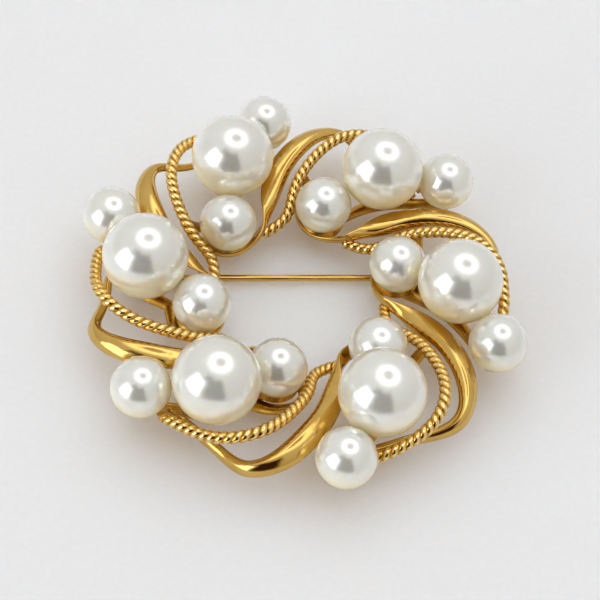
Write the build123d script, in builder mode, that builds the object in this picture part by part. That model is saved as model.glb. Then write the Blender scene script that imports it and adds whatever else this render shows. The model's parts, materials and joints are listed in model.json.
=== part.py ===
from build123d import *
import os
from math import cos, radians, sin, sqrt

# Pearl wreath brooch, in millimetres.
# The origin is on the surface that the brooch lies on, under the middle of the wreath.
# +Z is up, out of the front, and +X runs along the pin stem from the hinge to the catch.

# Wreath: six clusters of three pearls, and between them a band and a rope
cluster_count = 6
first_cluster_azimuth = -5.6
large_pearl_diameter = 7.0
small_pearl_diameter = 4.8
rope_diameter = 1.0
band_width = 2.1
row_gap = 1.5
pearl_gap = 0.06
outer_pearl_bearing = -56.6
inner_pearl_bearing = 150.6

# Cups, pegs and drilled holes
seat_gap = 0.08
cup_wall = 0.45
large_cup_radius = 1.6
outer_cup_radius = 0.95
inner_cup_radius = 1.7
stem_radius = 0.6
peg_radius = 0.4
peg_clearance = 0.05
peg_depth_large = 3.4
peg_depth_small = 2.4
drill_allowance = 0.1

# Gallery: the strip under each cluster that carries its cups and rises towards the rim
gallery_bottom = 1.1
gallery_thickness = 0.6
gallery_width = 1.3
gallery_lift = 0.7
gallery_overrun = 0.5
large_stand = 1.2
outer_stand = 0.2
inner_stand = 0.2

# Band, rope and the strut that carries the rope
band_thickness = 0.8
band_edge_share = 0.25
band_drop = 1.85
curl_offset = 0.5
ridge_share = -0.22
outer_bow_share = 0.75
inner_bow_share = 0.5
strut_width = 1.1
strut_thickness = 0.5

# Hinge
pin_offset = 3.1
pin_height = 0.6
ear_radius = 0.6
ear_thickness = 0.5
knuckle_radius = 0.54
knuckle_width = 1.1
knuckle_side_gap = 0.1
knuckle_top_gap = 0.15
rivet_radius = 0.22
rivet_head_radius = 0.4
rivet_head_height = 0.15
rivet_running_clearance = 0.04
rivet_set_clearance = 0.02

# Pin stem and catch
pin_root_radius = 0.42
pin_root_length = 2.0
pin_radius = 0.29
pin_taper_radius = 0.22
pin_taper_length = 3.4
pin_tip_radius = 0.05
pin_past_catch = 1.6
catch_width = 1.5
catch_clearance = 0.16
catch_wall = 0.35
catch_mouth_half_angle = 55.0
catch_plate_thickness = 0.35

# Worked out from the sizes above
large_radius = large_pearl_diameter / 2
small_radius = small_pearl_diameter / 2
rope_radius = rope_diameter / 2
ring_radius = large_radius + small_pearl_diameter + rope_diameter + band_width + row_gap
step = 360 / cluster_count
gallery_middle = gallery_bottom + gallery_thickness / 2
gallery_top = gallery_bottom + gallery_thickness
large_height = gallery_top + large_stand + large_radius
outer_height = gallery_top + gallery_lift + outer_stand + small_radius
inner_height = gallery_top + inner_stand + small_radius
band_rise = large_height - band_drop - gallery_top


def point(radius, azimuth, height):
    """A point at a distance and direction from the Z axis."""
    return Vector(radius * cos(radians(azimuth)), radius * sin(radians(azimuth)), height)


def at_height(place, height):
    """The same place at another height."""
    return Vector(place.X, place.Y, height)


def between(start, end, share):
    """The point at a share of the way from start to end."""
    return start + (end - start) * share


def beside_large(bearing, height):
    """The centre of a small pearl that nearly touches its cluster's large one."""
    reach = large_radius + small_radius + pearl_gap
    spread = sqrt(reach**2 - (large_height - height) ** 2)
    return Vector(ring_radius, 0, 0) + point(spread, bearing, height)


# The cluster on the X axis, and the inner pearl of the next one round
large_seat = Vector(ring_radius, 0, large_height)
outer_seat = beside_large(outer_pearl_bearing, outer_height)
inner_seat = beside_large(inner_pearl_bearing, inner_height)
seats = {
    "large": (large_seat, large_radius),
    "outer": (outer_seat, small_radius),
    "inner": (inner_seat, small_radius),
    "next_inner": (inner_seat.rotate(Axis.Z, step), small_radius),
}

# Pearl, cup radius, height of the gallery's face under it, depth of the peg
cup_table = [
    ("large", large_cup_radius, gallery_top, peg_depth_large),
    ("outer", outer_cup_radius, gallery_top + gallery_lift, peg_depth_small),
    ("inner", inner_cup_radius, gallery_top, peg_depth_small),
]

# The rope, from its inner end beside the curl to its outer end in the gallery:
# pearl, bearing and tilt from its centre, gap from its surface to the rope as a share of rope_diameter
rope_table = [
    ("next_inner", 314.0, -35.0, 0.95),
    ("inner", 128.0, -25.0, 0.50),
    ("inner", 87.0, -8.0, 0.18),
    ("inner", 53.0, 6.0, 1.20),
    ("large", 90.0, -11.0, 1.75),
    ("large", 65.0, -9.0, 1.10),
    ("large", 38.0, -14.0, 0.62),
    ("large", 8.0, -23.0, 0.36),
    ("outer", 79.0, -22.0, 0.26),
    ("outer", 95.0, -52.0, 0.40),
]

# The band's curl round the next cluster's inner pearl: bearing, tilt,
# and the shares of curl_offset, band_width and band_thickness
curl_table = [
    (146.0, -28.0, 1.05, 0.34, 0.55),
    (170.0, -42.0, 0.95, 0.38, 0.55),
    (200.0, -50.0, 0.90, 0.42, 0.55),
    (235.0, -52.0, 0.90, 0.44, 0.55),
    (272.0, -46.0, 1.05, 0.50, 0.60),
    (311.0, -28.0, 1.95, 0.64, 0.70),
]

# The band's sweep between two clusters, round the rim and under the rope to the gallery:
# share of ring_radius, azimuth, shares of band_rise, band_width and band_thickness, lean
sweep_table = [
    (0.736, 47.8, 0.607, 0.80, 0.85, 36.0),
    (0.943, 40.9, 0.851, 0.94, 1.00, 4.0),
    (1.128, 33.5, 1.000, 0.96, 1.00, -8.0),
    (1.286, 26.0, 0.873, 0.84, 1.00, -22.0),
    (1.352, 18.2, 0.600, 0.62, 0.90, -32.0),
    (1.276, 9.8, 0.300, 0.48, 0.75, -38.0),
    (1.244, 4.6, 0.350, 0.46, 0.65, -46.0),
    (1.236, 0.2, 0.420, 0.46, 0.60, -52.0),
    (1.216, -5.8, 0.310, 0.46, 0.60, -46.0),
    (1.197, -10.0, 0.120, 0.42, 0.60, -26.0),
]

# The strut from the gallery up to the rope: shares of its way, rise and width
strut_table = [
    (0.00, 0.00, 1.30),
    (0.45, 0.08, 1.00),
    (0.75, 0.42, 1.00),
    (1.00, 0.95, 0.80),
]


def near_pearl(name, bearing, tilt, stand_off):
    """A point at a bearing and tilt from a pearl's centre, standing off its surface."""
    centre, radius = seats[name]
    reach = radius + stand_off
    return centre + point(reach * cos(radians(tilt)), bearing, reach * sin(radians(tilt)))


def headings(centres):
    """The direction of travel at each of a row of points."""
    last = len(centres) - 1
    ends = [(max(i - 1, 0), min(i + 1, last)) for i in range(last + 1)]
    return [(centres[after] - centres[before]).normalized() for before, after in ends]


def section_plane(centre, heading, lean):
    """A plane across the path, with X to the left of travel and leant up by an angle."""
    left = Vector(0, 0, 1).cross(heading).normalized()
    up = heading.cross(left)
    across = left * cos(radians(lean)) + up * sin(radians(lean))
    return Plane(origin=centre, x_dir=across, z_dir=heading)


def ribbon(sections):
    """A strip lofted through (centre, width, thickness, lean), its face bowed to both sides of a ridge."""
    ways = headings([centre for centre, _, _, _ in sections])
    with BuildPart() as strip:
        for (centre, width, thickness, lean), way in zip(sections, ways):
            half = width / 2
            back = -thickness / 2
            brim = back + thickness * band_edge_share
            ridge = (width * ridge_share, thickness / 2)
            with BuildSketch(section_plane(centre, way, lean)):
                with BuildLine():
                    Polyline((-half, brim), (-half, back), (half, back), (half, brim))
                    RadiusArc((half, brim), ridge, -width * outer_bow_share)
                    RadiusArc(ridge, (-half, brim), -width * inner_bow_share)
                make_face()
        loft()
    return strip.part


def round_bar(centres, radius):
    """A round bar lofted through circles along a path."""
    with BuildPart() as bar:
        for centre, way in zip(centres, headings(centres)):
            with BuildSketch(section_plane(centre, way, 0)):
                Circle(radius)
        loft()
    return bar.part


def cup_and_peg(name, cup_radius, face, peg_depth):
    """A stem, a dish that follows its pearl at seat_gap, and the peg inside the pearl."""
    seat, radius = seats[name]
    inside = radius + seat_gap
    outside = inside + cup_wall
    flare = outside / inside
    rim_depth = sqrt(inside**2 - cup_radius**2)
    foot = face - gallery_thickness / 2 - seat.Z
    peg_top = peg_depth - radius
    stem_end = (stem_radius, -sqrt(outside**2 - stem_radius**2))
    rim_outside = (cup_radius * flare, -rim_depth * flare)
    rim_inside = (cup_radius, -rim_depth)
    dish_start = (peg_radius, -sqrt(inside**2 - peg_radius**2))
    with BuildPart() as post:
        with BuildSketch(Plane.XZ):
            with BuildLine():
                Polyline((0, peg_top), (0, foot), (stem_radius, foot), stem_end)
                RadiusArc(stem_end, rim_outside, -outside)
                Line(rim_outside, rim_inside)
                RadiusArc(rim_inside, dish_start, inside)
                Polyline(dish_start, (peg_radius, peg_top), (0, peg_top))
            make_face()
        revolve(axis=Axis.Z)
    return post.part.moved(Location(seat))


# Band
curl_sections = [
    (
        near_pearl("next_inner", bearing, tilt, offset * curl_offset),
        width * band_width,
        thickness * band_thickness,
        90 - tilt,
    )
    for bearing, tilt, offset, width, thickness in curl_table
]
sweep_sections = [
    (
        point(reach * ring_radius, azimuth, gallery_top + rise * band_rise),
        width * band_width,
        thickness * band_thickness,
        lean,
    )
    for reach, azimuth, rise, width, thickness, lean in sweep_table
]
band = ribbon(curl_sections + sweep_sections)

# Rope
rope_path = [
    near_pearl(name, bearing, tilt, gap * rope_diameter + rope_radius)
    for name, bearing, tilt, gap in rope_table
]
rope = round_bar(rope_path, rope_radius)

# Gallery: place, height over its own level, share of gallery_width
gallery_row = [
    (between(inner_seat, large_seat, -gallery_overrun / large_radius), 0, 0.7),
    (inner_seat, 0, 1.0),
    (between(inner_seat, large_seat, 0.5), 0, 0.8),
    (large_seat, 0.1, 1.1),
    (between(large_seat, outer_seat, 0.5), 0.6, 0.85),
    (outer_seat, 1, 0.75),
    (between(outer_seat, large_seat, -gallery_overrun / large_radius), 1, 0.55),
]
gallery = ribbon(
    [
        (
            at_height(place, gallery_middle + rise * gallery_lift),
            share * gallery_width,
            gallery_thickness,
            0,
        )
        for place, rise, share in gallery_row
    ]
)

# Strut
strut_start = at_height(between(inner_seat, large_seat, 0.5), gallery_middle)
strut_end = between(rope_path[2], rope_path[3], 0.7)
strut = ribbon(
    [
        (
            at_height(
                between(strut_start, strut_end, way),
                strut_start.Z + rise * (strut_end.Z - strut_start.Z),
            ),
            share * strut_width,
            strut_thickness,
            0,
        )
        for way, rise, share in strut_table
    ]
)

# Hinge, under the gallery of the cluster opposite the first one
hinge_azimuth = first_cluster_azimuth + step * (cluster_count // 2)
hinge_from = large_seat.rotate(Axis.Z, hinge_azimuth)
hinge_to = outer_seat.rotate(Axis.Z, hinge_azimuth)
hinge_share = (pin_offset - hinge_from.Y) / (hinge_to.Y - hinge_from.Y)
hinge_axis = at_height(between(hinge_from, hinge_to, hinge_share), pin_height)
hinge_top = gallery_middle + hinge_share * gallery_lift
ear_inside = knuckle_width / 2 + knuckle_side_gap
ear_outside = ear_inside + ear_thickness
plate_bottom = pin_height + knuckle_radius + knuckle_top_gap
with BuildPart() as hinge_ears:
    with Locations(hinge_axis):
        Cylinder(ear_radius, 2 * ear_outside, rotation=(90, 0, 0))
        Box(
            2 * ear_radius,
            2 * ear_outside,
            hinge_top - pin_height,
            align=(Align.CENTER, Align.CENTER, Align.MIN),
        )
        Box(
            4 * ear_radius,
            2 * ear_inside,
            2 * (plate_bottom - pin_height),
            mode=Mode.SUBTRACT,
        )
        Cylinder(
            rivet_radius + rivet_set_clearance,
            4 * ear_outside,
            rotation=(90, 0, 0),
            mode=Mode.SUBTRACT,
        )

# Catch, a plain hook under the inner cup of the first cluster, with its mouth down
catch_cup = inner_seat.rotate(Axis.Z, first_cluster_azimuth)
catch_inside = pin_radius + catch_clearance
catch_outside = catch_inside + catch_wall
catch_plate_bottom = pin_height + catch_inside
mouth = 2 * catch_outside
mouth_side = mouth * sin(radians(catch_mouth_half_angle))
mouth_drop = mouth * cos(radians(catch_mouth_half_angle))
with BuildPart() as catch_hook:
    with BuildSketch(Plane.YZ.offset(catch_cup.X - catch_width / 2)):
        with Locations((pin_offset, pin_height)):
            Circle(catch_outside)
            Circle(catch_inside, mode=Mode.SUBTRACT)
            with BuildLine():
                Polyline(
                    (pin_offset, pin_height),
                    (pin_offset - mouth_side, pin_height - mouth_drop),
                    (pin_offset + mouth_side, pin_height - mouth_drop),
                    close=True,
                )
            make_face(mode=Mode.SUBTRACT)
        with Locations(((catch_cup.Y + pin_offset) / 2, catch_plate_bottom)):
            Rectangle(
                pin_offset - catch_cup.Y + 2 * stem_radius,
                catch_plate_thickness,
                align=(Align.CENTER, Align.MIN),
            )
    extrude(amount=catch_width)

# One sixth of the wreath, then the whole frame with its hinge and catch
with BuildPart() as sixth:
    add(gallery)
    for name, cup_radius, face, peg_depth in cup_table:
        add(cup_and_peg(name, cup_radius, face, peg_depth))
    add(strut)
    add(rope)
    add(band)

with BuildPart() as wreath_frame:
    with PolarLocations(0, cluster_count, start_angle=first_cluster_azimuth):
        add(sixth.part)
    add(hinge_ears.part)
    add(catch_hook.part)

# Pin stem: a root that thins from the knuckle, a parallel stretch, a slight taper
# through the catch and the point past it. Start, radius there, end, radius there
root_end = hinge_axis.X + pin_root_length
catch_end = catch_cup.X + catch_width / 2
taper_start = catch_end - pin_taper_length
pin_table = [
    (hinge_axis.X, pin_root_radius, root_end, pin_radius),
    (root_end, pin_radius, taper_start, pin_radius),
    (taper_start, pin_radius, catch_end, pin_taper_radius),
    (catch_end, pin_taper_radius, catch_end + pin_past_catch, pin_tip_radius),
]
with BuildPart() as pin_stem:
    with Locations(hinge_axis):
        Cylinder(knuckle_radius, knuckle_width, rotation=(90, 0, 0))
    for start, start_radius, end, end_radius in pin_table:
        with BuildSketch(Plane.YZ.offset(start)):
            with Locations((pin_offset, pin_height)):
                Circle(start_radius)
        with BuildSketch(Plane.YZ.offset(end)):
            with Locations((pin_offset, pin_height)):
                Circle(end_radius)
        loft()
    with Locations(hinge_axis):
        Cylinder(
            rivet_radius + rivet_running_clearance,
            2 * knuckle_width,
            rotation=(90, 0, 0),
            mode=Mode.SUBTRACT,
        )

# Rivet, with a head outside each ear
with BuildPart() as hinge_rivet:
    with Locations(hinge_axis):
        Cylinder(rivet_radius, 2 * (ear_outside + rivet_set_clearance), rotation=(90, 0, 0))
    for side in (-1, 1):
        head_middle = ear_outside + rivet_set_clearance + rivet_head_height / 2
        with Locations(hinge_axis + Vector(0, side * head_middle, 0)):
            Cylinder(rivet_head_radius, rivet_head_height, rotation=(90, 0, 0))

os.makedirs("parts", exist_ok=True)
for piece, name in (
    (wreath_frame, "wreath_frame"),
    (pin_stem, "pin_stem"),
    (hinge_rivet, "hinge_rivet"),
):
    piece.part.label = name
    export_step(piece.part, f"parts/{name}.step")

# Pearls, half drilled from below, three to a cluster
for name, _, _, peg_depth in cup_table:
    seat, radius = seats[name]
    hole_depth = peg_depth + drill_allowance
    for number in range(cluster_count):
        place = seat.rotate(Axis.Z, first_cluster_azimuth + step * number)
        with BuildPart() as pearl:
            with Locations(place):
                Sphere(radius)
            with Locations(at_height(place, place.Z - radius + hole_depth / 2)):
                Cylinder(peg_radius + peg_clearance, hole_depth, mode=Mode.SUBTRACT)
        pearl.part.label = f"pearl_{name}_{number + 1}"
        export_step(pearl.part, f"parts/{pearl.part.label}.step")
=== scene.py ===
import json
from math import cos, pi, radians, sin, sqrt

import bpy
import numpy as np
from mathutils import Matrix, Vector


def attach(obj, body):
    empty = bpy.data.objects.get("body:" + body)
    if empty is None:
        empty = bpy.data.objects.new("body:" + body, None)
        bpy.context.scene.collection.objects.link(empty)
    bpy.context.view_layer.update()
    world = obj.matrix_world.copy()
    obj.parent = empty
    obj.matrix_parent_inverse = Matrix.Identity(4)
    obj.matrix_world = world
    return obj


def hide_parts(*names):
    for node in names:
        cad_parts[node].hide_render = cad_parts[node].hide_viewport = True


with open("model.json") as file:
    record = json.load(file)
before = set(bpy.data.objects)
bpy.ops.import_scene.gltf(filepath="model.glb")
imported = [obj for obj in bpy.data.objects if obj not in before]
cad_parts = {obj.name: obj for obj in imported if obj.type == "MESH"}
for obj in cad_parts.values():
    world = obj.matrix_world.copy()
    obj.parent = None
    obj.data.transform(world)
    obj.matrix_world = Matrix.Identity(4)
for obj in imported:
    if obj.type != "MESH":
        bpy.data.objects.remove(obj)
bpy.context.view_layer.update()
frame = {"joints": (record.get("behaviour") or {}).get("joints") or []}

# Lengths are in millimetres up to the mesh, which is in metres, and angles are in degrees.
METRE = 0.001

# Camera: the photo's viewing angle, worked out from the outlines of the pearls
CAMERA_ELEVATION = 54.15
CAMERA_TURN = -11.9
CAMERA_ROLL = -9.72
CAMERA_DISTANCE = 126.2
CAMERA_TARGET_HEIGHT = 6.4
FOCAL_PIXELS = 1549.5
PHOTO_SIDE = 600
SHIFT_RIGHT_PIXELS = 4.0
SHIFT_UP_PIXELS = 31.5
SENSOR_WIDTH = 36.0
NEAREST_SEEN = 5.0
FARTHEST_SEEN = 20000.0

# Pearls and where they sit
CLUSTERS = 6
FIRST_AZIMUTH = -5.6
STEP = 360 / CLUSTERS
RING_RADIUS = 12.9
LARGE_RADIUS = 3.5
SMALL_RADIUS = 2.4
PEARL_GAP = 0.06
LARGE_HEIGHT = 6.4
OUTER_HEIGHT = 5.0
INNER_HEIGHT = 4.3
OUTER_BEARING = -56.6
INNER_BEARING = 150.6

# Cups, pegs and drilled holes
SEAT_GAP = 0.08
CUP_WALL = 0.45
STEM_RADIUS = 0.6
PEG_RADIUS = 0.4
DRILL_RADIUS = 0.45
DRILL_ALLOWANCE = 0.1

# Gallery, band, strut and rope
GALLERY_TOP = 1.7
GALLERY_MIDDLE = 1.4
GALLERY_THICKNESS = 0.6
GALLERY_WIDTH = 1.3
GALLERY_LIFT = 0.7
GALLERY_OVERRUN = 0.5
BAND_WIDTH = 2.1
BAND_THICKNESS = 0.8
BAND_RISE = 2.85
CURL_OFFSET = 0.5
STRUT_WIDTH = 1.1
STRUT_THICKNESS = 0.5
STRUT_END_SHARE = 0.7
ROPE_RADIUS = 0.5
STRAND_RADIUS = 0.35
STRAND_PITCH = 1.3

# The section of band, gallery and strut: the height of its sides as a share of its thickness, and
# as shares of its width the ridge's place on its face and the radii of the bows on both sides of it
BRIM_SHARE = 0.25
RIDGE_SHARE = -0.22
OUTER_BOW_SHARE = 0.75
INNER_BOW_SHARE = 0.5

# Hinge, pin and catch, round the hinge's middle, which is the place of the frame's joint
HINGE = np.array(frame["joints"][0]["pos_m"]) / METRE
HINGE_X, PIN_OFFSET, PIN_HEIGHT = HINGE
PIN_ROOT_RADIUS = 0.42
PIN_ROOT_LENGTH = 2.0
PIN_RADIUS = 0.29
PIN_TAPER_RADIUS = 0.22
PIN_TAPER_LENGTH = 3.4
PIN_TIP_RADIUS = 0.05
PIN_PAST_CATCH = 1.6
HINGE_TOP = 1.65
EAR_RADIUS = 0.6
EAR_THICKNESS = 0.5
EAR_INSIDE = 0.65
BRIDGE_BOTTOM = 1.29
BRIDGE_OVERLAP = 0.1
KNUCKLE_RADIUS = 0.54
KNUCKLE_WIDTH = 1.1
KNUCKLE_EDGE = 0.06
RIVET_RADIUS = 0.22
RIVET_BORE = 0.26
RIVET_HEAD_RADIUS = 0.4
RIVET_HEAD_HEIGHT = 0.15
RIVET_HEAD_START = 1.17
RIVET_CROWN_SHARE = 0.75
RIVET_SIDE_SHARE = 0.4
CATCH_X = 8.27
CATCH_CUP_Y = 1.94
CATCH_WIDTH = 1.5
CATCH_INSIDE = 0.45
CATCH_OUTSIDE = 0.8
CATCH_PLATE = 0.35
CATCH_MOUTH_HALF_ANGLE = 55.0

# Sizes of the patterns in the surfaces. A hand polishes in strokes of 2 to 3 mm, and a casting has
# tones about 1 mm wide. Nacre has clouds of 3 mm and ripples of half a millimetre, like the tooth
# of matt paper. The lines that a cloth or a die leaves are about 0.01 mm wide and the grain of a
# casting is 0.05 mm. Both are too fine to show, so they are drawn coarser.
POLISHING_STROKES = 2.5
CLOTH_LINES = 0.16
DIE_LINES = 0.12
CASTING_TONES = 1.2
CASTING_GRAIN = 0.09
NACRE_CLOUDS = 3.2
NACRE_RIPPLES = 0.45
PAPER_TOOTH = 0.5

# How far clouding shifts the tone of the nacre, as a share of the way from crown to cup
NACRE_CLOUDING = 0.1

# Painted light: a faint warm glow painted into the paper, standing in for the light that gold and pearls
# throw into their shadows
PAPER_PAINTED_GLOW_COLOUR = "#FFDCA8"
PAPER_PAINTED_GLOW = 0.08

# Where most of a noise's values lie
NOISE_RANGE = {"From Min": 0.3, "From Max": 0.7}

# The floor, from its middle to each side
FLOOR_REACH = 2000.0

# The white tent: its walls round the lamp and away from it, what the camera sees of them, and
# the angles from the lamp's middle at which its glow on them starts to fade and is gone
TENT_LIT = "#E7E7E6"
TENT_SHADED = "#D4D1CA"
TENT_SEEN = "#E9E9E7"
TENT_GLOW = (20, 90)

# The lamp overhead: its angle to the right of the camera's side and its height over the floor
LAMP_WAY = (163, 75)

# Rectangles in the tent, each laid over the ones before it: middle and half of the angle to the
# right of the camera's side, the same for the height over the floor, soft edge, colour, strength
PANES = {
    "camera_arm": ((-28, 18), (54, 8), 6, "#C0BCB8", 0.35),
    "camera_gap": ((2.5, 27.5), (31, 26), 7, "#C48E80", 0.09),
    "window": ((-53.5, 19.5), (18, 23), 4, "#F4FAFF", 3.2),
}

# Discs round the lamp's middle, laid over the rectangles: the angles from the middle at which
# each starts to fade and is gone, colour, strength
DISCS = {
    "lamp": (16, 37, "#FAFCFF", 2.2),
    "lamp_hub": (6, 17, "#E8D8DA", 0.85),
}


# Camera


def polar(radius, azimuth, height):
    """A point at a distance and direction from the Z axis."""
    return np.array([radius * cos(radians(azimuth)), radius * sin(radians(azimuth)), height])


def photo_axes():
    """The camera's right, up and back directions, with its roll and turn."""
    rise = radians(CAMERA_ELEVATION)
    right = Vector((1, 0, 0))
    up = Vector((0, sin(rise), cos(rise)))
    back = Vector((0, -cos(rise), sin(rise)))
    roll = radians(CAMERA_ROLL)
    rolled_right = right * cos(roll) - up * sin(roll)
    rolled_up = right * sin(roll) + up * cos(roll)
    turn = Matrix.Rotation(radians(CAMERA_TURN), 3, "Z")
    return [turn @ way for way in (rolled_right, rolled_up, back)]


def make_camera():
    """A camera as far away as the photo's, with a lens as long."""
    data = bpy.data.cameras.new("photo_camera")
    data.sensor_width = SENSOR_WIDTH
    data.lens = SENSOR_WIDTH * FOCAL_PIXELS / PHOTO_SIDE
    data.shift_x = -SHIFT_RIGHT_PIXELS / PHOTO_SIDE
    data.shift_y = -SHIFT_UP_PIXELS / PHOTO_SIDE
    data.clip_start = NEAREST_SEEN * METRE
    data.clip_end = FARTHEST_SEEN * METRE
    camera = bpy.data.objects.new("photo_camera", data)
    right, up, back = photo_axes()
    place = Vector((0, 0, CAMERA_TARGET_HEIGHT)) + back * CAMERA_DISTANCE
    pose = Matrix((right, up, back)).transposed().to_4x4()
    pose.translation = place * METRE
    camera.matrix_world = pose
    bpy.context.scene.collection.objects.link(camera)
    bpy.context.scene.camera = camera


make_camera()


# Materials


def colour(code):
    """An sRGB hex colour as linear red, green, blue and alpha."""
    parts = [int(code[i : i + 2], 16) / 255 for i in (1, 3, 5)]
    return [c / 12.92 if c <= 0.04045 else ((c + 0.055) / 1.055) ** 2.4 for c in parts] + [1.0]


def per_metre(size):
    """The texture scale that makes features of that size in millimetres."""
    return 1000 / size


def add(tree, kind, settings=None, links=None, stops=()):
    """Adds a node with its settings and colour stops, and links its sockets to other outputs."""
    node = tree.nodes.new(kind)
    for key, value in (settings or {}).items():
        if isinstance(key, str) and hasattr(node, key):
            setattr(node, key, value)
        else:
            node.inputs[key].default_value = value
    for key, (source, output) in (links or {}).items():
        tree.links.new(source.outputs[output], node.inputs[key])
    while stops and len(node.color_ramp.elements) < len(stops):
        node.color_ramp.elements.new(0.5)
    for k, (place, code) in enumerate(stops):
        node.color_ramp.elements[k].position = place
        node.color_ramp.elements[k].color = colour(code)
    return node


def new_material(name):
    material = bpy.data.materials.new(name)
    material.use_nodes = True
    tree = material.node_tree
    tree.nodes.clear()
    return material, tree


def finish_material(tree, settings, links):
    """The surface shader and the output of a material."""
    shader = add(tree, "ShaderNodeBsdfPrincipled", settings, links)
    add(tree, "ShaderNodeOutputMaterial", links={"Surface": (shader, 0)})


def buffed_gold():
    """Yellow gold buffed with rouge: a mirror that cloth lines and a slow wave keep from being perfect."""
    material, tree = new_material("yellow_gold_buffed")
    place = add(tree, "ShaderNodeTexCoord")
    strokes = add(
        tree,
        "ShaderNodeTexNoise",
        {"Scale": per_metre(POLISHING_STROKES), "Detail": 3.5},
        {"Vector": (place, "Object")},
    )
    lines = add(
        tree,
        "ShaderNodeTexNoise",
        {"Scale": per_metre(CLOTH_LINES), "Detail": 4.0},
        {"Vector": (place, "Object")},
    )
    tone = add(
        tree, "ShaderNodeValToRGB", links={0: (strokes, 0)}, stops=[(0.35, "#CDA555"), (0.65, "#D7B265")]
    )
    gloss = add(
        tree, "ShaderNodeMapRange", {**NOISE_RANGE, "To Min": 0.05, "To Max": 0.10}, {"Value": (lines, 0)}
    )
    wave = add(tree, "ShaderNodeBump", {"Strength": 0.5, "Distance": 0.12 * METRE}, {"Height": (strokes, 0)})
    cloth = add(
        tree,
        "ShaderNodeBump",
        {"Strength": 0.12, "Distance": 0.002 * METRE},
        {"Height": (lines, 0), "Normal": (wave, 0)},
    )
    finish_material(
        tree,
        {"Metallic": 1.0},
        {"Base Color": (tone, 0), "Roughness": (gloss, 0), "Normal": (cloth, 0)},
    )
    return material


def twisted_wire_gold():
    """Yellow gold wire, drawn and twisted: painted highlights of pale cream on its crests, and dark brown in
    its grooves, partly polish left there and partly painted shade.
    """
    material, tree = new_material("yellow_gold_twisted_wire")
    place = add(tree, "ShaderNodeTexCoord")
    groove = add(tree, "ShaderNodeAttribute", {"attribute_name": "groove"})
    lines = add(
        tree,
        "ShaderNodeTexNoise",
        {"Scale": per_metre(DIE_LINES), "Detail": 3.0},
        {"Vector": (place, "Object")},
    )
    # Painted light: cream on the crests stands for their highlights, and the dark brown deep in the grooves
    # is partly polish and partly painted shade
    tone = add(
        tree,
        "ShaderNodeValToRGB",
        links={0: (groove, "Fac")},
        stops=[
            (0.0, "#F2D498"),
            (0.12, "#D6A94E"),
            (0.30, "#A87826"),
            (0.48, "#6E460C"),
            (0.70, "#301C04"),
        ],
    )
    gloss = add(
        tree, "ShaderNodeMapRange", {**NOISE_RANGE, "To Min": 0.05, "To Max": 0.10}, {"Value": (lines, 0)}
    )
    drawn = add(tree, "ShaderNodeBump", {"Strength": 0.2, "Distance": 0.003 * METRE}, {"Height": (lines, 0)})
    finish_material(
        tree,
        {"Metallic": 1.0},
        {"Base Color": (tone, 0), "Roughness": (gloss, 0), "Normal": (drawn, 0)},
    )
    return material


def cast_gold():
    """Yellow gold as cast and cleaned, where no buff reaches: duller, browner and slightly grained."""
    material, tree = new_material("yellow_gold_cast")
    place = add(tree, "ShaderNodeTexCoord")
    patches = add(
        tree,
        "ShaderNodeTexNoise",
        {"Scale": per_metre(CASTING_TONES), "Detail": 3.0},
        {"Vector": (place, "Object")},
    )
    grain = add(
        tree,
        "ShaderNodeTexNoise",
        {"Scale": per_metre(CASTING_GRAIN), "Detail": 4.0},
        {"Vector": (place, "Object")},
    )
    tone = add(
        tree, "ShaderNodeValToRGB", links={0: (patches, 0)}, stops=[(0.3, "#B98830"), (0.7, "#CDA34B")]
    )
    gloss = add(
        tree, "ShaderNodeMapRange", {**NOISE_RANGE, "To Min": 0.22, "To Max": 0.36}, {"Value": (grain, 0)}
    )
    pits = add(tree, "ShaderNodeBump", {"Strength": 0.25, "Distance": 0.006 * METRE}, {"Height": (grain, 0)})
    finish_material(
        tree,
        {"Metallic": 1.0},
        {"Base Color": (tone, 0), "Roughness": (gloss, 0), "Normal": (pits, 0)},
    )
    return material


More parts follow.
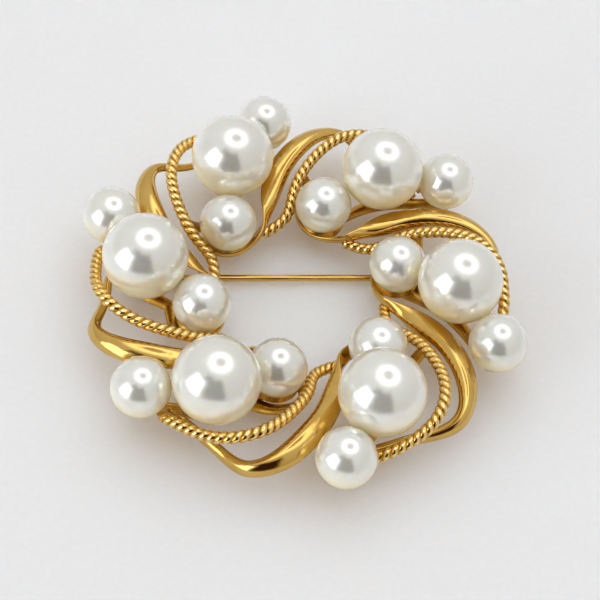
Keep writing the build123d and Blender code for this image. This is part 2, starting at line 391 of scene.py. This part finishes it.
def pearl_nacre():
    """White cultured pearl: a mirror skin over a milky body, silvery on its crown, with a painted warm
    reflection of its gold cup that makes it lighter and cream toward the cup.
    """
    material, tree = new_material("white_pearl_nacre")
    place = add(tree, "ShaderNodeTexCoord")
    clouds = add(
        tree,
        "ShaderNodeTexNoise",
        {"Scale": per_metre(NACRE_CLOUDS), "Detail": 2.0},
        {"Vector": (place, "Object")},
    )
    ripples = add(
        tree,
        "ShaderNodeTexNoise",
        {"Scale": per_metre(NACRE_RIPPLES), "Detail": 3.0},
        {"Vector": (place, "Object")},
    )
    low = add(tree, "ShaderNodeAttribute", {"attribute_name": "toward_cup"})
    depth = add(
        tree,
        "ShaderNodeMath",
        {"operation": "MULTIPLY_ADD", 1: NACRE_CLOUDING},
        {0: (clouds, 0), 2: (low, "Fac")},
    )
    # Painted reflection: the nacre turns lighter and cream toward its cup, for the gold's warm light from
    # below
    tone = add(
        tree,
        "ShaderNodeValToRGB",
        links={0: (depth, 0)},
        stops=[
            (0.16, "#E3E3DE"),
            (0.33, "#EBEAE4"),
            (0.47, "#F8F1E2"),
            (0.57, "#FFEECF"),
            (0.71, "#FFE8BC"),
        ],
    )
    # Less mirror toward the cup, so that the painted cream shows there
    mirror = add(
        tree,
        "ShaderNodeMapRange",
        {"From Min": 0.25, "From Max": 0.60, "To Min": 0.55, "To Max": 0.20},
        {"Value": (low, "Fac")},
    )
    gloss = add(
        tree, "ShaderNodeMapRange", {**NOISE_RANGE, "To Min": 0.15, "To Max": 0.20}, {"Value": (ripples, 0)}
    )
    bump = add(
        tree, "ShaderNodeBump", {"Strength": 0.08, "Distance": 0.01 * METRE}, {"Height": (ripples, 0)}
    )
    finish_material(
        tree,
        {
            "IOR": 1.53,
            "Subsurface Weight": 0.9,
            "Subsurface Scale": 5 * METRE,
            "Subsurface Radius": (1.0, 0.75, 0.40),
            "Coat Weight": 0.15,
            "Coat Roughness": 0.08,
            "Coat IOR": 1.6,
        },
        {"Base Color": (tone, 0), "Metallic": (mirror, 0), "Roughness": (gloss, 0), "Normal": (bump, 0)},
    )
    return material


def white_paper():
    """Matt white backing paper: a faint tooth, soft warm shadows where light spreads in its body, and a
    faint painted glow that lifts and warms its shadows.
    """
    material, tree = new_material("matt_white_paper")
    place = add(tree, "ShaderNodeTexCoord")
    tooth = add(
        tree,
        "ShaderNodeTexNoise",
        {"Scale": per_metre(PAPER_TOOTH), "Detail": 4.0},
        {"Vector": (place, "Object")},
    )
    tone = add(tree, "ShaderNodeValToRGB", links={0: (tooth, 0)}, stops=[(0.3, "#DDE0E4"), (0.7, "#E0E3E7")])
    bump = add(tree, "ShaderNodeBump", {"Strength": 0.05, "Distance": 0.02 * METRE}, {"Height": (tooth, 0)})
    finish_material(
        tree,
        {
            "subsurface_method": "BURLEY",
            "Roughness": 0.9,
            "Subsurface Weight": 0.8,
            "Subsurface Scale": 10 * METRE,
            "Subsurface Radius": (1.0, 0.62, 0.42),
            # Painted light: the paper glows faintly warm, though it is no lamp
            "Emission Color": colour(PAPER_PAINTED_GLOW_COLOUR),
            "Emission Strength": PAPER_PAINTED_GLOW,
        },
        {"Base Color": (tone, 0), "Normal": (bump, 0)},
    )
    return material


BUFFED = buffed_gold()
WIRE = twisted_wire_gold()
CAST = cast_gold()
NACRE = pearl_nacre()
PAPER = white_paper()


# Shapes, each made of points and faces


def spline(knots, rows, at):
    """Rows of numbers at knots, read smoothly at other places along them."""
    rows = np.asarray(rows, float)
    flat = rows.reshape(len(rows), -1)
    gap = np.diff(knots)
    count = len(knots)
    system = np.zeros((count, count))
    pull = np.zeros_like(flat)
    system[0, 0] = system[-1, -1] = 1
    for i in range(1, count - 1):
        system[i, i - 1 : i + 2] = gap[i - 1], 2 * (gap[i - 1] + gap[i]), gap[i]
        pull[i] = 6 * ((flat[i + 1] - flat[i]) / gap[i] - (flat[i] - flat[i - 1]) / gap[i - 1])
    bend = np.linalg.solve(system, pull)
    i = np.clip(np.searchsorted(knots, at, side="right") - 1, 0, count - 2)
    h = gap[i][:, None]
    b = ((at - knots[i]) / gap[i])[:, None]
    a = 1 - b
    out = a * flat[i] + b * flat[i + 1] + ((a**3 - a) * bend[i] + (b**3 - b) * bend[i + 1]) * h**2 / 6
    return out.reshape(len(at), *rows.shape[1:])


def lengths_along(points):
    """The distance travelled at each of a row of points."""
    steps = np.linalg.norm(np.diff(points, axis=0), axis=1)
    return np.concatenate([[0], np.cumsum(steps)])


def unit(ways):
    return ways / np.linalg.norm(ways, axis=-1, keepdims=True)


def skin(rings):
    """A skin over a row of closed rings, with both ends closed."""
    rows, around = rings.shape[:2]
    faces = []
    for i in range(rows - 1):
        for j in range(around):
            k = (j + 1) % around
            faces.append((i * around + j, i * around + k, (i + 1) * around + k, (i + 1) * around + j))
    faces.append(tuple(range(around - 1, -1, -1)))
    faces.append(tuple((rows - 1) * around + j for j in range(around)))
    return rings.reshape(-1, 3), faces


def turned(profile, around):
    """A closed shape turned about Z from (radius, height) points, from foot to top, ends on the axis."""
    points = []
    for radius, height in profile[1:-1]:
        for j in range(around):
            turn = 2 * pi * j / around
            points.append((radius * cos(turn), radius * sin(turn), height))
    rows = len(profile) - 2
    first, last = len(points), len(points) + 1
    points += [(0, 0, profile[0][1]), (0, 0, profile[-1][1])]
    faces = []
    for j in range(around):
        k = (j + 1) % around
        faces.append((first, k, j))
        faces.append((last, (rows - 1) * around + j, (rows - 1) * around + k))
        for i in range(rows - 1):
            faces.append((i * around + j, i * around + k, (i + 1) * around + k, (i + 1) * around + j))
    return np.array(points), faces


def turned_ring(profile, around):
    """A ring turned about Z from a closed outline of (radius, height) points that stays off the axis."""
    points = []
    for radius, height in profile:
        for j in range(around):
            turn = 2 * pi * j / around
            points.append((radius * cos(turn), radius * sin(turn), height))
    rows = len(profile)
    faces = []
    for i in range(rows):
        below = (i + 1) % rows
        for j in range(around):
            k = (j + 1) % around
            faces.append((i * around + j, i * around + k, below * around + k, below * around + j))
    return np.array(points), faces


def joined(parts):
    """Several shapes as one."""
    points, faces, start = [], [], 0
    for some, theirs in parts:
        points.append(some)
        faces += [tuple(v + start for v in face) for face in theirs]
        start += len(some)
    return np.concatenate(points), faces


def laid_along_x(shape, centre):
    """A turned shape laid along X, from centre."""
    points, faces = shape
    return np.stack([points[:, 2], points[:, 0], points[:, 1]], axis=1) + centre, faces


def laid_along_y(shape, centre):
    """A turned shape laid along Y, at centre."""
    points, faces = shape
    return np.stack([points[:, 0], points[:, 2], -points[:, 1]], axis=1) + centre, faces


def slab(outline, low, high, axes):
    """An outline in two axes, drawn out along the third from low to high."""
    count = len(outline)
    points = np.zeros((2 * count, 3))
    third = 3 - axes[0] - axes[1]
    if third == 1:
        outline = outline[::-1]
    for k, level in enumerate((low, high)):
        points[k * count : (k + 1) * count, axes[0]] = [p[0] for p in outline]
        points[k * count : (k + 1) * count, axes[1]] = [p[1] for p in outline]
        points[k * count : (k + 1) * count, third] = level
    faces = [(j, (j + 1) % count, count + (j + 1) % count, count + j) for j in range(count)]
    faces += [tuple(range(count - 1, -1, -1)), tuple(range(count, 2 * count))]
    return points, faces


def rectangle(left, right, low, high):
    """The corners of a rectangle, anticlockwise."""
    return [(left, low), (right, low), (right, high), (left, high)]


def circle_points(centre, radius, start, end, count):
    """Points on a circle in a plane, from one angle to another."""
    return [
        (centre[0] + radius * cos(radians(a)), centre[1] + radius * sin(radians(a)))
        for a in np.linspace(start, end, count)
    ]


def spun(points, azimuth):
    """Points turned about the wreath's axis."""
    c, s = cos(radians(azimuth)), sin(radians(azimuth))
    return points @ np.array([[c, s, 0], [-s, c, 0], [0, 0, 1]])


def azimuth_of(number):
    return FIRST_AZIMUTH + STEP * (number - 1)


def at_cluster(shape, number):
    """A shape of one sector, turned to the place of a cluster."""
    points, faces = shape
    return spun(points, azimuth_of(number)), faces


def piece(name, shape, material, node, body="wreath", sharp=None, edge=None):
    """A finished piece in place of a CAD node, riding on its body.

    Corners over sharp degrees stay crisp, and edge is the width that wear has rounded them to.
    """
    points, faces = shape
    mesh = bpy.data.meshes.new(name)
    mesh.from_pydata((points * METRE).tolist(), [], faces)
    mesh.validate()
    mesh.update()
    for face in mesh.polygons:
        face.use_smooth = True
    if sharp is not None:
        mesh.set_sharp_from_angle(angle=radians(sharp))
    mesh.materials.append(material)
    thing = bpy.data.objects.new(name, mesh)
    bpy.context.scene.collection.objects.link(thing)
    if edge is not None:
        bevel = thing.modifiers.new("worn_edges", "BEVEL")
        bevel.width = edge * METRE
        bevel.segments = 3
        bevel.limit_method = "ANGLE"
    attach(thing, body)
    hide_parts(node)
    return thing


def mark_points(thing, name, values):
    """Gives each point of a piece a number for its material to read."""
    marks = thing.data.attributes.new(name, "FLOAT", "POINT")
    marks.data.foreach_set("value", values)


# Where the pearls sit, and the paths of what lies between them


def beside_large(bearing, height):
    """The centre of a small pearl that nearly touches its cluster's large one."""
    reach = LARGE_RADIUS + SMALL_RADIUS + PEARL_GAP
    spread = sqrt(reach**2 - (LARGE_HEIGHT - height) ** 2)
    return np.array([RING_RADIUS, 0, 0]) + polar(spread, bearing, height)


large_seat = np.array([RING_RADIUS, 0, LARGE_HEIGHT])
outer_seat = beside_large(OUTER_BEARING, OUTER_HEIGHT)
inner_seat = beside_large(INNER_BEARING, INNER_HEIGHT)

# Centre and radius of each pearl of a sector at azimuth 0, and of the next sector's inner one
SEATS = {
    "large": (large_seat, LARGE_RADIUS),
    "outer": (outer_seat, SMALL_RADIUS),
    "inner": (inner_seat, SMALL_RADIUS),
    "next_inner": (spun(inner_seat, STEP), SMALL_RADIUS),
}

# Pearl, cup radius, height of the gallery's face under it, depth of the drilled hole
CUPS = [
    ("large", 1.6, GALLERY_TOP, 3.4),
    ("outer", 0.95, GALLERY_TOP + GALLERY_LIFT, 2.4),
    ("inner", 1.7, GALLERY_TOP, 2.4),
]

# The gallery's path: place, share of its lift, share of its width
OVERRUN_SHARE = -GALLERY_OVERRUN / LARGE_RADIUS
GALLERY = [
    (inner_seat + (large_seat - inner_seat) * OVERRUN_SHARE, 0, 0.7),
    (inner_seat, 0, 1.0),
    ((inner_seat + large_seat) / 2, 0, 0.8),
    (large_seat, 0.1, 1.1),
    ((large_seat + outer_seat) / 2, 0.6, 0.85),
    (outer_seat, 1, 0.75),
    (outer_seat + (large_seat - outer_seat) * OVERRUN_SHARE, 1, 0.55),
]

# The strut's path: shares of the way to the rope, of the rise to it and of the strut's width
STRUT = [(0.00, 0.00, 1.30), (0.45, 0.08, 1.00), (0.75, 0.42, 1.00), (1.00, 0.95, 0.80)]

# The rope's path: pearl, bearing and tilt from its centre, gap from its surface
ROPE = [
    ("next_inner", 314.0, -35.0, 0.95),
    ("inner", 128.0, -25.0, 0.50),
    ("inner", 87.0, -8.0, 0.18),
    ("inner", 53.0, 6.0, 1.20),
    ("large", 90.0, -11.0, 1.75),
    ("large", 65.0, -9.0, 1.10),
    ("large", 38.0, -14.0, 0.62),
    ("large", 8.0, -23.0, 0.36),
    ("outer", 79.0, -22.0, 0.26),
    ("outer", 95.0, -52.0, 0.40),
]

# The band's curl round the next inner pearl: bearing, tilt,
# shares of the curl's offset, of the band's width and of its thickness
CURL = [
    (146.0, -28.0, 1.05, 0.34, 0.55),
    (170.0, -42.0, 0.95, 0.38, 0.55),
    (200.0, -50.0, 0.90, 0.42, 0.55),
    (235.0, -52.0, 0.90, 0.44, 0.55),
    (272.0, -46.0, 1.05, 0.50, 0.60),
    (311.0, -28.0, 1.95, 0.64, 0.70),
]

# The band's sweep: share of the ring's radius, azimuth,
# shares of its rise, width and thickness, and how far it leans
SWEEP = [
    (0.736, 47.8, 0.607, 0.80, 0.85, 36.0),
    (0.943, 40.9, 0.851, 0.94, 1.00, 4.0),
    (1.128, 33.5, 1.000, 0.96, 1.00, -8.0),
    (1.286, 26.0, 0.873, 0.84, 1.00, -22.0),
    (1.352, 18.2, 0.600, 0.62, 0.90, -32.0),
    (1.276, 9.8, 0.300, 0.48, 0.75, -38.0),
    (1.244, 4.6, 0.350, 0.46, 0.65, -46.0),
    (1.236, 0.2, 0.420, 0.46, 0.60, -52.0),
    (1.216, -5.8, 0.310, 0.46, 0.60, -46.0),
    (1.197, -10.0, 0.120, 0.42, 0.60, -26.0),
]


def near_pearl(name, bearing, tilt, stand_off):
    """A point at a bearing and tilt from a pearl's centre, standing off its surface."""
    centre, radius = SEATS[name]
    reach = radius + stand_off
    return centre + polar(reach * cos(radians(tilt)), bearing, reach * sin(radians(tilt)))


def headings(points):
    """The direction of travel at each point of a row."""
    last = len(points) - 1
    return unit(np.array([points[min(i + 1, last)] - points[max(i - 1, 0)] for i in range(last + 1)]))


# Band, gallery and strut, all strips with one soft section


def rounded(outline, softness, count):
    """A closed outline with its corners buffed round, as evenly spaced points."""
    closed = np.vstack([outline, outline[:1]])
    run = lengths_along(closed)
    finer = 6
    steps = finer * count
    at = np.arange(steps) * run[-1] / steps
    dense = np.stack([np.interp(at, run, closed[:, k]) for k in (0, 1)], axis=1)
    spread = softness / (run[-1] / steps)
    reach = int(3 * spread) + 1
    offsets = range(-reach, reach + 1)
    weights = np.exp(-0.5 * (np.array(offsets) / spread) ** 2)
    weights /= weights.sum()
    soft = sum(weight * np.roll(dense, k, axis=0) for weight, k in zip(weights, offsets))
    return soft[::finer]


def bowed(start, end, radius, count):
    """Points on the arc from start to end that bulges to the right of travel."""
    start, end = np.array(start), np.array(end)
    chord = end - start
    span = np.linalg.norm(chord)
    out = np.array([chord[1], -chord[0]]) / span
    middle = (start + end) / 2
    centre = middle - out * sqrt(radius**2 - span**2 / 4)
    turn = np.arcsin(span / 2 / radius)
    angles = np.linspace(-turn, turn, count)
    along = chord / span
    return centre + radius * (np.cos(angles)[:, None] * out + np.sin(angles)[:, None] * along)


def strip_profile(width, thickness, softness):
    """The strip's section: a flat back, short sides, and a face bowed to both sides of a soft ridge."""
    half = width / 2
    back = -thickness / 2
    brim = back + thickness * BRIM_SHARE
    ridge = (width * RIDGE_SHARE, thickness / 2)
    outline = np.vstack(
        [
            [(-half, brim), (-half, back), (half, back)],
            bowed((half, brim), ridge, width * OUTER_BOW_SHARE, count=12),
            bowed(ridge, (-half, brim), width * INNER_BOW_SHARE, count=9)[1:-1],
        ]
    )
    return rounded(outline, softness, count=56)


def strip(sections, spacing, softness):
    """A strip through (centre, width, thickness, lean) sections, smooth between them."""
    centres = np.array([section[0] for section in sections])
    ways = headings(centres)
    rings = []
    for (centre, width, thickness, lean), way in zip(sections, ways):
        left = unit(np.cross((0, 0, 1), way))
        up = np.cross(way, left)
        across = left * cos(radians(lean)) + up * sin(radians(lean))
        face = np.cross(way, across)
        flat = strip_profile(width, thickness, softness)
        rings.append(centre + flat[:, :1] * across + flat[:, 1:] * face)
    run = lengths_along(centres)
    at = np.linspace(0, run[-1], int(run[-1] / spacing))
    return skin(spline(run, rings, at))


def band():
    """The band, from its curl round the next inner pearl, out between the clusters and round the rim."""
    curl = [
        (
            near_pearl("next_inner", bearing, tilt, offset * CURL_OFFSET),
            width * BAND_WIDTH,
            thickness * BAND_THICKNESS,
            90 - tilt,
        )
        for bearing, tilt, offset, width, thickness in CURL
    ]
    sweep = [
        (
            polar(reach * RING_RADIUS, azimuth, GALLERY_TOP + rise * BAND_RISE),
            width * BAND_WIDTH,
            thickness * BAND_THICKNESS,
            lean,
        )
        for reach, azimuth, rise, width, thickness, lean in SWEEP
    ]
    return strip(curl + sweep, spacing=0.2, softness=0.08)


def gallery():
    """The strip under a cluster that carries its cups and rises towards the rim."""
    sections = []
    for place, rise, share in GALLERY:
        centre = np.array([place[0], place[1], GALLERY_MIDDLE + rise * GALLERY_LIFT])
        sections.append((centre, share * GALLERY_WIDTH, GALLERY_THICKNESS, 0))
    return strip(sections, spacing=0.25, softness=0.07)


def strut(rope_points):
    """The strut from the gallery up to the rope."""
    start = (inner_seat + large_seat) / 2
    start[2] = GALLERY_MIDDLE
    end = rope_points[2] + (rope_points[3] - rope_points[2]) * STRUT_END_SHARE
    sections = []
    for way, rise, share in STRUT:
        place = start + (end - start) * way
        place[2] = start[2] + rise * (end[2] - start[2])
        sections.append((place, share * STRUT_WIDTH, STRUT_THICKNESS, 0))
    return strip(sections, spacing=0.2, softness=0.06)


# Rope


def rope_path(count):
    """The points that the rope is led through, and its smooth line."""
    points = [near_pearl(name, bearing, tilt, gap + ROPE_RADIUS) for name, bearing, tilt, gap in ROPE]
    points = np.array(points)
    run = lengths_along(points)
    return points, spline(run, points, np.linspace(0, run[-1], count))


def twisted_wire(path, around):
    """Two strands laid round each other to the left, with how deep each point lies in a groove."""
    run = lengths_along(path)
    ways = unit(np.gradient(path, axis=0))
    side = unit(np.cross(ways[0], (0, 0, 1)))
    sides = []
    for way in ways:
        side = unit(side - way * np.dot(side, way))
        sides.append(side)
    sides = np.array(sides)
    tops = np.cross(ways, sides)
    offset = ROPE_RADIUS - STRAND_RADIUS
    shapes, depths = [], []
    for strand in (0, 1):
        turn = (strand * pi - 2 * pi * run / STRAND_PITCH)[:, None]
        out = np.cos(turn) * sides + np.sin(turn) * tops
        middle = path + out * offset
        travel = unit(np.gradient(middle, axis=0))
        beside = unit(np.cross(travel, out))
        outward = np.cross(beside, travel)
        rings, depth = [], []
        for j in range(around):
            angle = 2 * pi * j / around
            rings.append(middle + STRAND_RADIUS * (cos(angle) * outward + sin(angle) * beside))
            depth.append(np.full(len(path), (1 - cos(angle)) / 2))
        shapes.append(skin(np.stack(rings, axis=1)))
        depths.append(np.stack(depth, axis=1).reshape(-1))
    return joined(shapes), np.concatenate(depths)


# Cups and pearls


def arc_rows(radius, from_radius, to_radius, count):
    """(radius, height) points on the underside of a sphere."""
    start, end = (np.arcsin(r / radius) for r in (from_radius, to_radius))
    return [(radius * sin(a), -radius * cos(a)) for a in np.linspace(start, end, count)]


def cup(name, cup_radius, face, hole_depth):
    """A stem, a dish that follows its pearl, and the peg inside the pearl."""
    seat, radius = SEATS[name]
    foot = face - GALLERY_THICKNESS / 2 - seat[2]
    peg_top = hole_depth - radius
    inside = radius + SEAT_GAP
    outside = inside + CUP_WALL
    rows = [(0, foot), (STEM_RADIUS, foot)]
    rows += arc_rows(outside, STEM_RADIUS, cup_radius * outside / inside, count=10)
    rows += arc_rows(inside, cup_radius, PEG_RADIUS, count=10)
    rows += [(PEG_RADIUS, peg_top), (0, peg_top)]
    points, faces = turned(rows, around=48)
    return points + seat, faces


def pearl_profile(radius, hole_depth, count):
    """A sphere drilled half through from below."""
    lowest = np.arcsin(DRILL_RADIUS / radius)
    top = hole_depth - radius
    rows = [(0, top), (DRILL_RADIUS, top)]
    return rows + [(radius * sin(a), radius * cos(a)) for a in np.linspace(pi - lowest, 0, count)]


def make_pearl(name, number, hole_depth):
    """One pearl of a cluster, each point marked with how far it lies toward the cup, where its material
    paints a warm reflection.
    """
    seat, radius = SEATS[name]
    profile = pearl_profile(radius, hole_depth + DRILL_ALLOWANCE, count=60)
    points, faces = turned(profile, around=96)
    shape = (points + spun(seat, azimuth_of(number)), faces)
    node = f"pearl_{name}_{number}"
    pearl = piece(f"nacre_{name}_{number}", shape, NACRE, node, sharp=50)
    mark_points(pearl, "toward_cup", (1 - points[:, 2] / radius) / 2)


def make_wreath():
    """The six sectors, each a band, a gallery with its strut and cups, a rope and three pearls."""
    rope_points, rope_line = rope_path(count=500)
    wire_shape, wire_depth = twisted_wire(rope_line, around=14)
    band_shape = band()
    under_shape = joined([gallery(), strut(rope_points)] + [cup(*row) for row in CUPS])
    for number in range(1, CLUSTERS + 1):
        piece(f"band_{number}", at_cluster(band_shape, number), BUFFED, "wreath_frame")
        under = at_cluster(under_shape, number)
        piece(f"gallery_and_cups_{number}", under, CAST, "wreath_frame", sharp=40)
        wire = piece(f"twisted_wire_{number}", at_cluster(wire_shape, number), WIRE, "wreath_frame")
        mark_points(wire, "groove", wire_depth)
        for name, _, _, hole_depth in CUPS:
            make_pearl(name, number, hole_depth)


# Hinge, pin and catch


def make_hinge_ears():
    """Two ears that hang from a bridge under the gallery and hold the rivet."""
    left, right = HINGE_X - EAR_RADIUS, HINGE_X + EAR_RADIUS
    outline = circle_points((HINGE_X, PIN_HEIGHT), EAR_RADIUS, -180, 0, count=24)
    outline += [(right, HINGE_TOP), (left, HINGE_TOP)]
    ears = []
    for side in (-1, 1):
        low, high = sorted((side * EAR_INSIDE, side * (EAR_INSIDE + EAR_THICKNESS)))
        ears.append(slab(outline, PIN_OFFSET + low, PIN_OFFSET + high, (0, 2)))
    half_bridge = EAR_INSIDE + BRIDGE_OVERLAP
    block = rectangle(left, right, BRIDGE_BOTTOM, HINGE_TOP)
    bridge = slab(block, PIN_OFFSET - half_bridge, PIN_OFFSET + half_bridge, (0, 2))
    piece("hinge_ears", joined(ears + [bridge]), CAST, "wreath_frame", sharp=30, edge=0.06)


def make_catch_hook():
    """A hook with its mouth down, under the plate that joins it to its cup."""
    ends = (CATCH_X - CATCH_WIDTH / 2, CATCH_X + CATCH_WIDTH / 2)
    centre = (PIN_OFFSET, PIN_HEIGHT)
    start, end = CATCH_MOUTH_HALF_ANGLE - 90, 270 - CATCH_MOUTH_HALF_ANGLE
    outline = circle_points(centre, CATCH_OUTSIDE, start, end, count=40)
    outline += circle_points(centre, CATCH_INSIDE, end, start, count=40)
    plate_low = PIN_HEIGHT + CATCH_INSIDE
    left, right = CATCH_CUP_Y - STEM_RADIUS, PIN_OFFSET + STEM_RADIUS
    plate = rectangle(left, right, plate_low, plate_low + CATCH_PLATE)
    shape = joined([slab(outline, *ends, (1, 2)), slab(plate, *ends, (1, 2))])
    piece("catch_hook", shape, CAST, "wreath_frame", sharp=30, edge=0.05)


def make_pin():
    """The stem, thick at its root and tapered through the catch, and the knuckle round the rivet."""
    catch_end = CATCH_X + CATCH_WIDTH / 2 - HINGE_X
    start = (RIVET_BORE + KNUCKLE_RADIUS) / 2
    tip = catch_end + PIN_PAST_CATCH
    stem_rows = [
        (0, start),
        (PIN_ROOT_RADIUS, start),
        (PIN_RADIUS, PIN_ROOT_LENGTH),
        (PIN_RADIUS, catch_end - PIN_TAPER_LENGTH),
        (PIN_TAPER_RADIUS, catch_end),
        (PIN_TIP_RADIUS, tip),
        (0, tip),
    ]
    half = KNUCKLE_WIDTH / 2
    knuckle_rows = [
        (RIVET_BORE, -half),
        (KNUCKLE_RADIUS - KNUCKLE_EDGE, -half),
        (KNUCKLE_RADIUS, KNUCKLE_EDGE - half),
        (KNUCKLE_RADIUS, half - KNUCKLE_EDGE),
        (KNUCKLE_RADIUS - KNUCKLE_EDGE, half),
        (RIVET_BORE, half),
    ]
    stem = laid_along_x(turned(stem_rows, around=32), HINGE)
    knuckle = laid_along_y(turned_ring(knuckle_rows, around=40), HINGE)
    piece("pin", joined([stem, knuckle]), BUFFED, "pin_stem", body="pin", sharp=40)


def make_rivet():
    """A round rivet with a low head at each end."""
    upper = [
        (RIVET_RADIUS, RIVET_HEAD_START),
        (RIVET_HEAD_RADIUS, RIVET_HEAD_START),
        (RIVET_HEAD_RADIUS, RIVET_HEAD_START + RIVET_HEAD_HEIGHT * RIVET_SIDE_SHARE),
        (RIVET_HEAD_RADIUS * RIVET_CROWN_SHARE, RIVET_HEAD_START + RIVET_HEAD_HEIGHT),
        (0, RIVET_HEAD_START + RIVET_HEAD_HEIGHT),
    ]
    lower = [(radius, -height) for radius, height in upper[::-1]]
    piece("rivet", laid_along_y(turned(lower + upper, around=40), HINGE), CAST, "hinge_rivet", sharp=40)


# Floor and light


def make_floor():
    """A plain sheet of paper under the brooch, far wider than the camera sees."""
    far = FLOOR_REACH * METRE
    corners = [(x, y, 0) for x, y in rectangle(-far, far, -far, far)]
    mesh = bpy.data.meshes.new("paper_floor")
    mesh.from_pydata(corners, [], [(0, 1, 2, 3)])
    mesh.materials.append(PAPER)
    floor = bpy.data.objects.new("paper_floor", mesh)
    bpy.context.scene.collection.objects.link(floor)


def toward(azimuth, elevation):
    """A direction by its angle to the right of the camera's side and its height over the floor."""
    level = cos(radians(elevation))
    way = Vector((level * sin(radians(azimuth)), -level * cos(radians(azimuth)), sin(radians(elevation))))
    return Matrix.Rotation(radians(CAMERA_TURN), 3, "Z") @ way


def facing(tree, view, way):
    """How squarely each direction of the sky faces a way, as a cosine."""
    return add(
        tree,
        "ShaderNodeVectorMath",
        {"operation": "DOT_PRODUCT", 1: tuple(way)},
        {0: (view, "Generated")},
    )


def disc(tree, view, way, inner, outer):
    """1 within an inner angle of a direction, fading to 0 at an outer one."""
    square = facing(tree, view, way)
    return add(
        tree,
        "ShaderNodeMapRange",
        {
            "interpolation_type": "SMOOTHSTEP",
            "From Min": cos(radians(outer)),
            "From Max": cos(radians(inner)),
        },
        {"Value": (square, "Value")},
    )


def within(tree, angle, middle, half, soft):
    """1 where an angle is less than half from its middle, fading out over a soft edge."""
    off = add(tree, "ShaderNodeMath", {"operation": "SUBTRACT", 1: radians(middle)}, {0: (angle, 0)})
    size = add(tree, "ShaderNodeMath", {"operation": "ABSOLUTE"}, {0: (off, 0)})
    return add(
        tree,
        "ShaderNodeMapRange",
        {
            "interpolation_type": "SMOOTHSTEP",
            "From Min": radians(half + soft),
            "From Max": radians(half - soft),
        },
        {"Value": (size, 0)},
    )


def pane(tree, azimuth, elevation, across, up, soft):
    """1 inside a rectangle of the sky, given by (middle, half) angles each way."""
    wide = within(tree, azimuth, *across, soft)
    high = within(tree, elevation, *up, soft)
    return add(tree, "ShaderNodeMath", {"operation": "MULTIPLY"}, {0: (wide, 0), 1: (high, 0)})


def lit(tree, base, share, code, strength):
    """A layer of light laid over a base colour where share is 1."""
    layer = [c * strength for c in colour(code)[:3]] + [1.0]
    return add(
        tree,
        "ShaderNodeMix",
        {"data_type": "RGBA", "clamp_factor": True, 7: layer},
        {0: (share, 0), 6: (base, 2)},
    )


def make_light():
    """A white tent with a round lamp above, a window at the left and the dark gap for the camera."""
    world = bpy.data.worlds.new("studio_tent")
    world.use_nodes = True
    bpy.context.scene.world = world
    tree = world.node_tree
    tree.nodes.clear()
    view = add(tree, "ShaderNodeTexCoord")
    right = facing(tree, view, toward(90, 0))
    front = facing(tree, view, toward(0, 0))
    height = facing(tree, view, (0, 0, 1))
    azimuth = add(
        tree, "ShaderNodeMath", {"operation": "ARCTAN2"}, {0: (right, "Value"), 1: (front, "Value")}
    )
    elevation = add(tree, "ShaderNodeMath", {"operation": "ARCSINE"}, {0: (height, "Value")})
    lamp_way = toward(*LAMP_WAY)
    glow = disc(tree, view, lamp_way, *TENT_GLOW)
    light = add(
        tree,
        "ShaderNodeMix",
        {"data_type": "RGBA", 6: colour(TENT_SHADED), 7: colour(TENT_LIT)},
        {0: (glow, 0)},
    )
    for across, up, soft, code, strength in PANES.values():
        share = pane(tree, azimuth, elevation, across, up, soft)
        light = lit(tree, light, share, code, strength)
    for inner, outer, code, strength in DISCS.values():
        share = disc(tree, view, lamp_way, inner, outer)
        light = lit(tree, light, share, code, strength)
    ray = add(tree, "ShaderNodeLightPath")
    seen = add(
        tree,
        "ShaderNodeMix",
        {"data_type": "RGBA", 7: colour(TENT_SEEN)},
        {0: (ray, "Is Camera Ray"), 6: (light, 2)},
    )
    sky = add(tree, "ShaderNodeBackground", {"Strength": 1.0}, {"Color": (seen, 2)})
    add(tree, "ShaderNodeOutputWorld", links={"Surface": (sky, 0)})


make_wreath()
make_hinge_ears()
make_catch_hook()
make_pin()
make_rivet()
make_floor()
make_light()
bpy.context.scene.view_settings.view_transform = "Standard"
